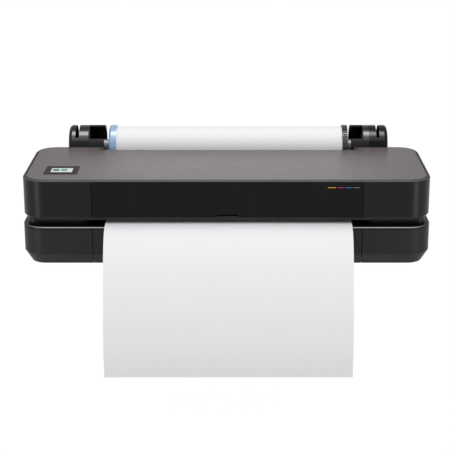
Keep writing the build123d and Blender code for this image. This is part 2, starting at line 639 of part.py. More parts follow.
def chassis():
    """Two side plates on the base tray, tied by a sheet-metal beam."""
    for name, side in (("left", -1), ("right", 1)):
        x0, x1 = sorted((side * PLATE_X, side * (PLATE_X + PLATE_SHEET)))
        plate = block(x0, x1, -68, 58, 2, 208)
        plate -= x_rod(x0 - 1, x1 + 1, FEED_Y, FEED_Z, 5 + FIT)
        if side < 0:
            plate -= x_rod(x0 - 1, x1 + 1, FEED_PINION_Y, FEED_PINION_Z, 3.5)
        foot = sorted((side * PLATE_X, side * (PLATE_X - 14)))
        plate += block(*foot, -68, -20, 2, 5)
        write(f"chassis_plate_{name}", plate)
    beam = block(-PLATE_X, PLATE_X, BEAM_Y, BEAM_Y + 2.5, 104, 205)
    beam += block(-PLATE_X, PLATE_X, BEAM_Y - 22, BEAM_Y, 202.5, 205)
    beam -= y_rod(BELT_X, BEAM_Y - 1, BEAM_Y + 4, BELT_Z, 4)
    beam += y_rod(-BELT_X, BELT_Y - 6, BEAM_Y, BELT_Z, 2.5)
    beam -= block(-PLATE_X - 1, PLATE_X + 1, BEAM_Y - 1, BEAM_Y + 4, 100, 111.5)
    for i in range(BEAM_HOLES):
        x = -PLATE_X + (i + 1) * 2 * PLATE_X / (BEAM_HOLES + 1)
        beam -= y_rod(x, BEAM_Y - 1, BEAM_Y + 4, 178, 11)
    write("chassis_beam", beam)
    write("carriage_rod", x_rod(-PLATE_X, PLATE_X, ROD_Y, ROD_Z, ROD_R))
    write("encoder_strip", block(-PLATE_X, PLATE_X, -2, -1.6, 176, 184))


BEAM_HOLES = 15


def belt_drive():
    """A closed belt round two pulleys behind the carriage."""
    def loop(radius):
        ends = x_stadium(BELT_X, radius)
        return Pos(0, BELT_Y + 3, BELT_Z) * extrude(Plane.XZ * ends, 6)
    write("drive_belt", loop(PULLEY_R + BELT_T) - loop(PULLEY_R + 0.3))
    for name, side in (("drive_pulley", 1), ("idler_pulley", -1)):
        x = side * BELT_X
        pulley = y_rod(x, BELT_Y - 3.5, BELT_Y + 3.5, BELT_Z, PULLEY_R)
        for y in (BELT_Y - 4.8, BELT_Y + 3.4):
            pulley += y_rod(x, y, y + 1.4, BELT_Z, PULLEY_R + 3)
        if side > 0:
            pulley += y_rod(x, BELT_Y, BEAM_Y + 16, BELT_Z, 2.5)
        else:
            pulley -= y_rod(x, BELT_Y - 10, BELT_Y + 10, BELT_Z, 2.5 + FIT)
        write(name, pulley)
    drive = y_rod(BELT_X, BEAM_Y + 2.5, BEAM_Y + 2.5 + MOTOR_L, BELT_Z, MOTOR_R - 0.5)
    drive -= y_rod(BELT_X, BEAM_Y + 1, BEAM_Y + 20, BELT_Z, 2.5 + FIT)
    feed = x_rod(-PLATE_X, -PLATE_X + MOTOR_L, FEED_PINION_Y, FEED_PINION_Z, MOTOR_R)
    feed -= x_rod(-PLATE_X - 1, -PLATE_X + 22, FEED_PINION_Y, FEED_PINION_Z, 2.5 + FIT)
    write("motors", group(drive, feed))


def x_stadium(half, radius):
    """A long round-ended outline along X."""
    return SlotCenterToCenter(2 * half, 2 * radius)


def carriage():
    """The carriage on its rod, with the printhead under it."""
    x0, x1 = CARRIAGE_X - CARRIAGE_W / 2, CARRIAGE_X + CARRIAGE_W / 2
    body = block(x0, x1, -60, 8, 124, 194)
    body = chamfer(body.faces().sort_by(Axis.Y)[0].edges(), 4)
    body += block(x0 + 8, x1 - 8, -54, -3, 114, 124)
    body -= x_rod(x0 - 1, x1 + 1, ROD_Y, ROD_Z, ROD_R + FIT)
    body -= block(x0 - 1, x1 + 1, -3.2, -0.4, 174, 196)
    body += block(CARRIAGE_X - 14, CARRIAGE_X + 14, 8, BELT_Y - 3.6, 134, 146)
    write("carriage", body)
    head = block(x0 + 12, x1 - 12, -50, -7, HEAD_BOTTOM, 114)
    write("printhead", chamfer(head.faces().sort_by(Axis.Z)[0].edges(), 1))


def platen():
    """The ribbed black bed under the printhead."""
    bed = block(-PLATE_X, 336, -58, -2, 92, 103)
    for i in range(PLATEN_RIBS):
        x = -PLATE_X + 8 + i * (336 + PLATE_X - 16) / (PLATEN_RIBS - 1)
        bed += block(x - 1, x + 1, -56, -4, 103, WEB_Z - WEB_T / 2 - 0.3)
    write("platen", bed)
    base = block(346, 438, -58, -2, 74, 99)
    base -= block(352, 432, -54, -6, 96, 100)
    write("service_station", base)
    sled = block(356, 428, -50, -9, 100.2, 106)
    sled += block(362, 392, -46, -13, 106, HEAD_BOTTOM - 0.3)
    sled += block(398, 422, -46, -13, 106, HEAD_BOTTOM - 0.3)
    write("cap_sled", sled)


PLATEN_RIBS = 34


# ---------------------------------------------------------------- ink, electronics, fasteners

def ink():
    """Four cartridges in a bay behind the right end of the door."""
    x0, x1 = INK_X[0] - 15, INK_X[-1] + 13
    y0, y1 = FRONT + 8, -74.0
    bay = block(x0, x1, y0, y1, 124, 127)
    bay += block(x0, x1, y1 - 3, y1, 127, 196)
    edges = [x0 + 1.2] + [(a + b) / 2 for a, b in zip(INK_X[:-1], INK_X[1:])] + [x1 - 1.2]
    for x in edges:
        bay += block(x - 1.2, x + 1.2, y0, y1, 127, 150)
    write("ink_bay", bay)
    tanks = []
    for x in INK_X:
        tank = block(x - INK_W / 2 + 0.6, x + INK_W / 2 - 0.6, y0 + 4, y1 - 4, 127.0, 190)
        tank = fillet(tank.edges().filter_by(Axis.Z), 2)
        tank += block(x - 4, x + 4, y0, y0 + 4.5, 172, 184)
        tanks.append(tank)
    write("ink_cartridges", group(*tanks))


def electronics():
    """Main board, power supply, sockets and the rocker switch."""
    board = block(-196, 40, 20, 142, 24, 25.6)
    for x, y, w, h in ((-120, 50, 40, 4), (-60, 100, 26, 8), (0, 60, 22, 12), (-160, 100, 18, 14)):
        board += block(x, x + w, y, y + w * 0.8, 25.6, 25.6 + h)
    for x in (-188, 30):
        for y in (28, 134):
            board += z_rod(x, y, 2, 24, 3)
    write("main_board", board)
    supply = block(-400, -300, 20, 140, 2, 52)
    for i in range(7):
        supply -= block(-392 + i * 12, -386 + i * 12, 30, 120, 51, 53)
    write("power_supply", supply)
    x0, x1, z0, z1 = PORTS["inlet"]
    inlet = block(x0, x1, REAR - 24, REAR + 0.6, z0, z1)
    inlet -= block(x0 + 3, x1 - 3, REAR - 17, REAR + 1, z0 + 3, z1 - 3)
    for dx, dz in ((-7, -2), (0, 2.5), (7, -2)):
        x, z = (x0 + x1) / 2 + dx, (z0 + z1) / 2 + dz
        inlet += block(x - 1, x + 1, REAR - 17, REAR - 4, z - 2, z + 2)
    ports = []
    for name in ("usb", "ethernet"):
        x0, x1, z0, z1 = PORTS[name]
        port = block(x0, x1, REAR - 18, REAR + 0.4, z0, z1)
        ports.append(port - block(x0 + 1.5, x1 - 1.5, REAR - 14, REAR + 1, z0 + 1.5, z1 - 1.5))
    write("data_ports", group(*ports))
    x0, x1, z0, z1 = PORTS["switch"]
    frame = block(x0, x1, REAR - 12, REAR + 0.6, z0, z1)
    frame -= block(x0 + 1.5, x1 - 1.5, REAR - 10, REAR + 1, z0 + 1.5, z1 - 1.5)
    frame -= x_rod(x0 + 0.5, x1 - 0.5, SWITCH_Y, SWITCH_Z, 1 + FIT)
    write("power_inlet", group(inlet, frame))
    outline = [(SWITCH_Y - 2.5, SWITCH_Z - 5), (SWITCH_Y - 2.5, SWITCH_Z + 5), (REAR - 0.5, SWITCH_Z + 8.4),
               (REAR + 0.2, SWITCH_Z), (REAR + 2.6, SWITCH_Z - 7.9), (REAR - 0.5, SWITCH_Z - 7.9)]
    rocker = yz_prism(outline, x0 + 2, x1 - 2)
    rocker += x_rod(x0 + 0.7, x1 - 0.7, SWITCH_Y, SWITCH_Z, 1)
    write("power_switch", rocker)


SWITCH_Y = REAR - 4.0
SWITCH_Z = (PORTS["switch"][2] + PORTS["switch"][3]) / 2


def fasteners():
    """Cap screws that hold the arms' feet to the rear of the housing."""
    screws = []
    for side in (-1, 1):
        for x in ARM_SCREW_X:
            for z in (126.5, 137.5):
                at = ARM_MID + side * x
                head = y_rod(at, REAR + 6, REAR + 9.5, z, 3.5)
                head -= y_rod(at, REAR + 7.5, REAR + 10, z, 1.6)
                screws.append(head)
    write("fasteners", group(*screws))


lower_covers()
mid_frame()
base_tray()
upper_covers()
upper_bottom_frame()
top_rim()
top_plate()
screen()
front_door()
ink_marks()
roll()
arm("left", -1)
arm("right", 1)
paper_sheet()
rear_guide()
rollers()
cutter()
chassis()
belt_drive()
carriage()
platen()
ink()
electronics()
fasteners()
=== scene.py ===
import json
import math

import bmesh
import bpy
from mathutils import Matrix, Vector


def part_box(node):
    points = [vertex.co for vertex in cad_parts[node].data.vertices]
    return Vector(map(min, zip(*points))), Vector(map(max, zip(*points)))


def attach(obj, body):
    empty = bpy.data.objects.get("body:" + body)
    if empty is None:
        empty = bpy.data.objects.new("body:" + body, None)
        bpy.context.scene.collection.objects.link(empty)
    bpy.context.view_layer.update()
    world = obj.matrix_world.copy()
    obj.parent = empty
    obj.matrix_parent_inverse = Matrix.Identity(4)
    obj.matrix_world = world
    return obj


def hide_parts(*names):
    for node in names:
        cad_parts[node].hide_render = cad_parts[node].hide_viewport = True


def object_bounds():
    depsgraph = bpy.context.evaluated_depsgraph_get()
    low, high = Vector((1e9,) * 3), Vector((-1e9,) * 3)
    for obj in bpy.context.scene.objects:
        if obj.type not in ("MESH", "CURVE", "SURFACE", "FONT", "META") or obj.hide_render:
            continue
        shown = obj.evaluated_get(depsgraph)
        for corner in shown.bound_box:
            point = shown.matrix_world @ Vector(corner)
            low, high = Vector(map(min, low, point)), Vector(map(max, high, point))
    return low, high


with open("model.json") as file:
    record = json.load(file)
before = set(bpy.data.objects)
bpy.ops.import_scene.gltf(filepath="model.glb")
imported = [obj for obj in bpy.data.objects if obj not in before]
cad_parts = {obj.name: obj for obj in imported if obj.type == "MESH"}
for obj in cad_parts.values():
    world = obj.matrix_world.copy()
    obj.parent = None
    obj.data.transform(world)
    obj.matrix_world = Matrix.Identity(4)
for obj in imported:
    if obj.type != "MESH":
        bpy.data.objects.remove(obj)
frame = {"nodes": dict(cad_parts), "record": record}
CAD_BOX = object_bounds()
NODES = frame["nodes"]
SCENE = bpy.context.scene

# ---------------------------------------------------------------- camera and light

CAMERA_AT = (0.0232, -3.3370, 1.0937)
CAMERA_TILT = (math.radians(72.65), 0.0, 0.0)
CAMERA_LENS = 107.3
CAMERA_SHIFT = -0.0242
FLOOR_DROP = 0.16
FLOOR_HALF = 30.0
FLOOR_TONE = 0.08
FLOOR_GLOW = 0.96
WORLD_LIGHT = 0.55
# Each light: where it stands, where it looks, its size and its power.
OVERHEAD = ((0.0, -1.6, 3.0), (0.0, -0.1, 0.1), (3.4, 2.2), 54.0)
BEHIND = ((0.0, 3.6, 1.3), (0.0, 0.1, 0.2), (1.5, 0.9), 4.2)
# The strips light only the sheen of the roll arms, and the corner lights that of the body's round corners.
STRIP = ((0.50, -0.10, 2.45), (0.50, -0.10, 0.0), (0.9, 0.95), 50.0)
CORNER = ((1.42, -1.15, -0.10), (0.45, -0.1, 0.1), (0.42, 0.55), 4.2)


def make_camera():
    """The camera stands in front and a little above, as a person looks at the machine on its stand."""
    data = bpy.data.cameras.new("camera")
    data.lens = CAMERA_LENS
    data.shift_x = CAMERA_SHIFT
    data.clip_end = 60.0
    camera = bpy.data.objects.new("camera", data)
    camera.location = CAMERA_AT
    camera.rotation_euler = CAMERA_TILT
    SCENE.collection.objects.link(camera)
    SCENE.camera = camera


def area_light(name, at, target, size, power):
    """A soft square light that looks at a point."""
    data = bpy.data.lights.new(name, "AREA")
    data.shape = "RECTANGLE"
    data.size, data.size_y = size
    data.energy = power
    light = bpy.data.objects.new(name, data)
    light.location = at
    light.rotation_euler = (Vector(target) - Vector(at)).to_track_quat("-Z", "Y").to_euler()
    SCENE.collection.objects.link(light)
    return light


def mirrored(at):
    """The same place on the left half."""
    return (-at[0], *at[1:])


def make_lights():
    """White surroundings, soft lights above and behind, and a pair of sheen lights on each side."""
    world = bpy.data.worlds.new("studio")
    world.use_nodes = True
    background = world.node_tree.nodes["Background"]
    background.inputs["Color"].default_value = (1.0, 1.0, 1.0, 1.0)
    background.inputs["Strength"].default_value = WORLD_LIGHT
    SCENE.world = world
    area_light("overhead", *OVERHEAD)
    area_light("behind", *BEHIND)
    for name, place in (("left", mirrored), ("right", tuple)):
        at, target, size, power = STRIP
        strip = area_light(f"strip_{name}", place(at), place(target), size, power)
        strip.visible_diffuse = False
        at, target, size, power = CORNER
        corner = area_light(f"side_{name}", place(at), place(target), size, power)
        corner.visible_diffuse = False
        corner.visible_camera = False


def make_floor():
    """A pale floor well below the hanging sheet."""
    mesh = bpy.data.meshes.new("floor")
    build = bmesh.new()
    bmesh.ops.create_grid(build, x_segments=2, y_segments=2, size=FLOOR_HALF)
    bmesh.ops.translate(build, verts=build.verts, vec=(0.0, 0.0, CAD_BOX[0].z - FLOOR_DROP))
    build.to_mesh(mesh)
    build.free()
    floor = bpy.data.objects.new("floor", mesh)
    SCENE.collection.objects.link(floor)
    material, _, shader = new_material("floor")
    shader.inputs["Base Color"].default_value = (FLOOR_TONE, FLOOR_TONE, FLOOR_TONE, 1.0)
    shader.inputs["Emission Color"].default_value = (1.0, 1.0, 1.0, 1.0)
    shader.inputs["Emission Strength"].default_value = FLOOR_GLOW
    shader.inputs["Roughness"].default_value = 0.9
    shader.inputs["Specular IOR Level"].default_value = 0.0
    mesh.materials.append(material)


def set_colours():
    """Plain display colours, so that the tones are the materials' own."""
    SCENE.view_settings.view_transform = "Standard"
    SCENE.view_settings.look = "None"
    SCENE.view_settings.exposure = 0.0


# ---------------------------------------------------------------- material helpers

# The colour sockets of a mix node: its first colour, its second colour and its result.
MIX_A, MIX_B, MIX_OUT = 6, 7, 2
# The pointiness above which an edge counts as convex, and how fast it then grows.
EDGE_FROM, EDGE_GAIN = 0.52, 12.0


def new_material(name):
    """An empty node material: the material, its tree and its shader."""
    material = bpy.data.materials.new(name)
    material.use_nodes = True
    tree = material.node_tree
    return material, tree, tree.nodes["Principled BSDF"]


def node(tree, kind, **values):
    """A node with some properties and sockets set; a socket is given by its name, with _ for a space."""
    made = tree.nodes.new(kind)
    for key, value in values.items():
        if hasattr(made, key):
            setattr(made, key, value)
        else:
            made.inputs[key.replace("_", " ")].default_value = value
    return made


def coordinates(tree, scale=(1.0, 1.0, 1.0)):
    """Object coordinates in metres, stretched along the axes."""
    place = tree.nodes.new("ShaderNodeTexCoord")
    stretch = tree.nodes.new("ShaderNodeMapping")
    stretch.inputs["Scale"].default_value = scale
    tree.links.new(place.outputs["Object"], stretch.inputs["Vector"])
    return stretch.outputs["Vector"]


def noise(tree, where, scale, detail=3.0, rough=0.55):
    """A noise value over the given coordinates."""
    made = node(tree, "ShaderNodeTexNoise", Scale=scale, Detail=detail, Roughness=rough)
    tree.links.new(where, made.inputs["Vector"])
    return made.outputs["Fac"]


def ramp(tree, value, stops):
    """Colours over a value, from (place, colour) stops."""
    made = tree.nodes.new("ShaderNodeValToRGB")
    elements = made.color_ramp.elements
    while len(elements) < len(stops):
        elements.new(0.5)
    for element, (place, colour) in zip(elements, stops):
        element.position = place
        element.color = (*colour, 1.0)
    tree.links.new(value, made.inputs["Fac"])
    return made.outputs["Color"]


def within(tree, value, middle, band):
    """1 where a value lies within a band of a middle value, else 0."""
    made = node(tree, "ShaderNodeMath", operation="COMPARE")
    tree.links.new(value, made.inputs[0])
    made.inputs[1].default_value = middle
    made.inputs[2].default_value = band
    return made.outputs[0]


def spread(tree, value, low, high):
    """A 0 to 1 value spread over a range."""
    made = node(tree, "ShaderNodeMapRange", To_Min=low, To_Max=high)
    tree.links.new(value, made.inputs["Value"])
    return made.outputs["Result"]


def math_node(tree, operation, first, second=None):
    """One arithmetic step; second may be a number or a socket."""
    made = tree.nodes.new("ShaderNodeMath")
    made.operation = operation
    for socket, value in zip(made.inputs, (first, second)):
        if value is None:
            continue
        if isinstance(value, (int, float)):
            socket.default_value = value
        else:
            tree.links.new(value, socket)
    return made.outputs[0]


def bump(tree, shader, height, strength, distance):
    """Feeds a height into the shader's normal, over any bump already there."""
    made = node(tree, "ShaderNodeBump", Strength=strength, Distance=distance)
    tree.links.new(height, made.inputs["Height"])
    old = shader.inputs["Normal"].links
    if old:
        tree.links.new(old[0].from_socket, made.inputs["Normal"])
    tree.links.new(made.outputs["Normal"], shader.inputs["Normal"])


def tinted(colour, factor):
    """A colour made lighter or darker."""
    return tuple(min(1.0, c * factor) for c in colour)


def mix_base(tree, shader, share, first, second):
    """Mixes the base colour from a socket to a second colour or socket, by a 0 to 1 share."""
    mix = tree.nodes.new("ShaderNodeMix")
    mix.data_type = "RGBA"
    tree.links.new(share, mix.inputs["Factor"])
    tree.links.new(first, mix.inputs[MIX_A])
    if isinstance(second, tuple):
        mix.inputs[MIX_B].default_value = (*second, 1.0)
    else:
        tree.links.new(second, mix.inputs[MIX_B])
    tree.links.new(mix.outputs[MIX_OUT], shader.inputs["Base Color"])


def object_axes(tree):
    """The X, Y and Z sockets of the object coordinates, in metres."""
    place = tree.nodes.new("ShaderNodeTexCoord")
    axes = tree.nodes.new("ShaderNodeSeparateXYZ")
    tree.links.new(place.outputs["Object"], axes.inputs["Vector"])
    return axes.outputs["X"], axes.outputs["Y"], axes.outputs["Z"]


def shader_of(material):
    """A material's tree, its shader, and the socket that its base colour comes from."""
    tree = material.node_tree
    shader = tree.nodes["Principled BSDF"]
    return tree, shader, shader.inputs["Base Color"].links[0].from_socket


def worn_and_glinting_edges(tree, shader, colour, edge_colour, amount):
    """Lightens a colour along the convex edges, as handled plastic and cut metal show, and on some parts as a
    painted edge highlight.
    """
    geometry = tree.nodes.new("ShaderNodeNewGeometry")
    sharp = math_node(tree, "SUBTRACT", geometry.outputs["Pointiness"], EDGE_FROM)
    edge = spread(tree, math_node(tree, "MULTIPLY", sharp, EDGE_GAIN), 0.0, amount)
    mix_base(tree, shader, edge, colour, edge_colour)


def plastic(name, colour, rough=0.42, specular=0.4, grain=900.0, relief=0.06, mottle=0.10, edge=0.12,
            edge_glint=None):
    """Moulded plastic: fine spark-eroded grain, slow colour drift, uneven gloss and paler edges, which are
    wear and, where an edge colour is given, a painted edge highlight.
    """
    material, tree, shader = new_material(name)
    where = coordinates(tree)
    drift = noise(tree, where, 7.0, 2.0)
    tone = ramp(tree, drift, [(0.3, tinted(colour, 1 - mottle)), (0.7, tinted(colour, 1 + mottle))])
    worn_and_glinting_edges(tree, shader, tone, edge_glint or tinted(colour, 2.2), edge)
    gloss = noise(tree, where, 34.0, 4.0)
    tree.links.new(spread(tree, gloss, rough * 0.86, min(1.0, rough * 1.14)), shader.inputs["Roughness"])
    bump(tree, shader, noise(tree, where, grain, 2.0), relief, 0.0006)
    shader.inputs["Specular IOR Level"].default_value = specular
    return material


def metal(name, colour, rough=0.3, along=(3.0, 900.0, 900.0), relief=0.05):
    """Brushed or ground metal, with its marks running along one axis."""
    material, tree, shader = new_material(name)
    where = coordinates(tree, along)
    marks = noise(tree, where, 1.0, 3.0)
    tone = ramp(tree, marks, [(0.25, tinted(colour, 0.86)), (0.75, tinted(colour, 1.08))])
    worn_and_glinting_edges(tree, shader, tone, tinted(colour, 2.2), 0.15)
    tree.links.new(spread(tree, marks, rough * 0.75, rough * 1.3), shader.inputs["Roughness"])
    bump(tree, shader, marks, relief, 0.0004)
    shader.inputs["Metallic"].default_value = 1.0
    return material


# The heights over which painted shade darkens the paper towards the bottom, in metres.
PAINTED_SHADE_HEIGHTS = (-0.30, 0.06)


def paper(name, colour, bottom_shade=1.0):
    """Coated plotter paper: faint fibre mottle, a very soft sheen, and painted shade that may darken it
    downwards.
    """
    material, tree, shader = new_material(name)
    where = coordinates(tree)
    fibre = noise(tree, where, 420.0, 5.0, 0.65)
    cloud = noise(tree, where, 9.0, 2.0)
    both = math_node(tree, "ADD", math_node(tree, "MULTIPLY", fibre, 0.4),
                     math_node(tree, "MULTIPLY", cloud, 0.6))
    tone = ramp(tree, both, [(0.3, tinted(colour, 0.985)), (0.7, tinted(colour, 1.0))])
    axes = tree.nodes.new("ShaderNodeSeparateXYZ")
    tree.links.new(where, axes.inputs["Vector"])
    low, high = PAINTED_SHADE_HEIGHTS
    # Painted shade: the tone is scaled down towards the bottom.
    fall = node(tree, "ShaderNodeMapRange", From_Min=low, From_Max=high, To_Min=bottom_shade, To_Max=1.0)
    tree.links.new(axes.outputs["Z"], fall.inputs["Value"])
    shade = tree.nodes.new("ShaderNodeVectorMath")
    shade.operation = "SCALE"
    tree.links.new(tone, shade.inputs[0])
    tree.links.new(fall.outputs["Result"], shade.inputs["Scale"])
    tree.links.new(shade.outputs["Vector"], shader.inputs["Base Color"])
    tree.links.new(spread(tree, fibre, 0.62, 0.78), shader.inputs["Roughness"])
    bump(tree, shader, fibre, 0.05, 0.0003)
    shader.inputs["Specular IOR Level"].default_value = 0.25
    return material


# The dots of the lower covers: their pitch, and where they fade out along |X| and below Z, in metres.
DOT_PITCH = 0.0072
DOT_REACH = (0.415, 0.455)
DOT_TOP = (0.026, 0.040)
DOT_LEVEL = (0.42, 0.67)


def lattice(tree):
    """1 on the dots of a staggered lattice and 0 between them, and 1 where the lattice shows."""
    x, y, z = object_axes(tree)
    run = math_node(tree, "ADD", x, y)
    waves = []
    for sign in ("ADD", "SUBTRACT"):
        slant = math_node(tree, sign, run, z)
        waves.append(math_node(tree, "SINE", math_node(tree, "MULTIPLY", slant, math.pi / DOT_PITCH)))
    height = math_node(tree, "ABSOLUTE", math_node(tree, "MULTIPLY", *waves))
    dots = node(tree, "ShaderNodeMapRange", From_Min=DOT_LEVEL[0], From_Max=DOT_LEVEL[1])
    tree.links.new(height, dots.inputs["Value"])
    reach = node(tree, "ShaderNodeMapRange", From_Min=DOT_REACH[0], From_Max=DOT_REACH[1], To_Min=1.0,
                 To_Max=0.0)
    tree.links.new(math_node(tree, "ABSOLUTE", x), reach.inputs["Value"])
    rise = node(tree, "ShaderNodeMapRange", From_Min=DOT_TOP[0], From_Max=DOT_TOP[1], To_Min=0.0, To_Max=1.0)
    tree.links.new(z, rise.inputs["Value"])
    shown = math_node(tree, "MULTIPLY", reach.outputs["Result"], rise.outputs["Result"])
    return dots.outputs["Result"], shown


def dotted_plastic(name, dark, plain, light):
    """The lower covers' plastic, with a moulded lattice of fine dots that fades out at the ends."""
    material = plastic(name, plain, rough=0.44, specular=0.15, edge=0.0)
    tree, shader, old = shader_of(material)
    dots, shown = lattice(tree)
    pattern = ramp(tree, dots, [(0.0, dark), (1.0, light)])
    mix_base(tree, shader, shown, old, pattern)
    bump(tree, shader, math_node(tree, "MULTIPLY", dots, shown), 0.25, 0.0006)
    return material


# The upward share of the normal on the deck's slanted top edge, and how far from it still counts, where the
# painted highlight is laid.
LIT_BEVEL_RISE, LIT_BEVEL_BAND = 0.7, 0.12


def deck_with_painted_highlight(name, colour, bevel_highlight):
    """The deck over the lower body: dark satin plastic, with a painted highlight on its slanted top edge
    where that faces up and to the front.
    """
    material = plastic(name, colour, rough=0.36, specular=0.25, edge=0.0)
    tree, shader, old = shader_of(material)
    geometry = tree.nodes.new("ShaderNodeNewGeometry")
    axes = tree.nodes.new("ShaderNodeSeparateXYZ")
    tree.links.new(geometry.outputs["True Normal"], axes.inputs["Vector"])
    slanted = within(tree, axes.outputs["Z"], LIT_BEVEL_RISE, LIT_BEVEL_BAND)
    forward = math_node(tree, "MAXIMUM", math_node(tree, "MULTIPLY", axes.outputs["Y"], -1.414), 0.0)
    front = math_node(tree, "POWER", forward, 4.0)
    # Painted highlight: the pale colour goes where the slanted edge faces up and to the front.
    mix_base(tree, shader, math_node(tree, "MULTIPLY", slanted, front), old, bevel_highlight)
    return material


# The roll holders: the roll's axis, the slot's middle and half width along |X|, the radius inside which the
# slot's faces lie, and where the right arm's satin collar starts, in metres. The slot's faces get painted
# shade: black, with no sheen.
AXIS_Y, AXIS_Z = 0.226, 0.2104
SLOT_MIDDLE, SLOT_HALF, SLOT_RADIUS = 0.4056, 0.0062, 0.0532
COLLAR_FROM = 0.382
PAINTED_SLOT_SHADE = (0.0005, 0.0005, 0.0005)


def arm_plastic(name, colour, specular):
    """The roll holders' glossy plastic: a satin collar on the right one, and painted shade in the slot of
    both, black and without sheen.
    """
    material = plastic(name, colour, rough=0.24, specular=specular, relief=0.01, edge=0.0)
    tree, shader, old = shader_of(material)
    x, y, z = object_axes(tree)
    off_y = math_node(tree, "SUBTRACT", y, AXIS_Y)
    off_z = math_node(tree, "SUBTRACT", z, AXIS_Z)
    square = math_node(tree, "ADD", math_node(tree, "MULTIPLY", off_y, off_y),
                       math_node(tree, "MULTIPLY", off_z, off_z))
    inside = math_node(tree, "LESS_THAN", math_node(tree, "SQRT", square), SLOT_RADIUS)
    along = within(tree, math_node(tree, "ABSOLUTE", x), SLOT_MIDDLE, SLOT_HALF)
    slot = math_node(tree, "MULTIPLY", along, inside)
    # Painted shade: the slot's faces are coloured black, and lose their sheen below, as the shade inside the
    # slot.
    mix_base(tree, shader, slot, old, PAINTED_SLOT_SHADE)
    collar = math_node(tree, "GREATER_THAN", x, COLLAR_FROM)
    shine = spread(tree, collar, specular, 0.5 * specular)
    lit = math_node(tree, "SUBTRACT", 1.0, slot)
    tree.links.new(math_node(tree, "MULTIPLY", shine, lit), shader.inputs["Specular IOR Level"])
    return material


def banded(name, colours, edges, rough=0.4):
    """Plastic whose colour steps along X at the given places."""
    material = plastic(name, colours[0], rough=rough, specular=0.4, edge=0.0)
    tree, shader, _ = shader_of(material)
    x, _, _ = object_axes(tree)
    low, high = edges[0], edges[-1]
    share = node(tree, "ShaderNodeMapRange", From_Min=low, From_Max=high)
    tree.links.new(x, share.inputs["Value"])
    stops = [(0.0, colours[0])]
    stops += [((e - low) / (high - low), c) for e, c in zip(edges[1:-1], colours[1:])]
    tone = ramp(tree, share.outputs["Result"], stops)
    tone.node.color_ramp.interpolation = "CONSTANT"
    tree.links.new(tone, shader.inputs["Base Color"])
    return material


# ---------------------------------------------------------------- materials of the CAD nodes

# Yellow, magenta, cyan and grey or black, on the door's dashes and on the cartridges.
DASH_COLOURS = [(0.78, 0.50, 0.02), (0.55, 0.03, 0.14), (0.02, 0.22, 0.55), (0.22, 0.22, 0.23)]
CARTRIDGE_COLOURS = [(0.60, 0.42, 0.03), (0.45, 0.03, 0.12), (0.02, 0.2, 0.45), (0.04, 0.04, 0.042)]
# How far past a quarter of their length each dash ends.
DASH_PAST = 0.0005


def quarters(node_name, past=0.0):
    """The X places where a node's four equal parts start and end."""
    low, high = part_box(node_name)
    step = (high.x - low.x) / 4
    return [low.x] + [low.x + step * (i + 1) + past for i in range(3)] + [high.x]


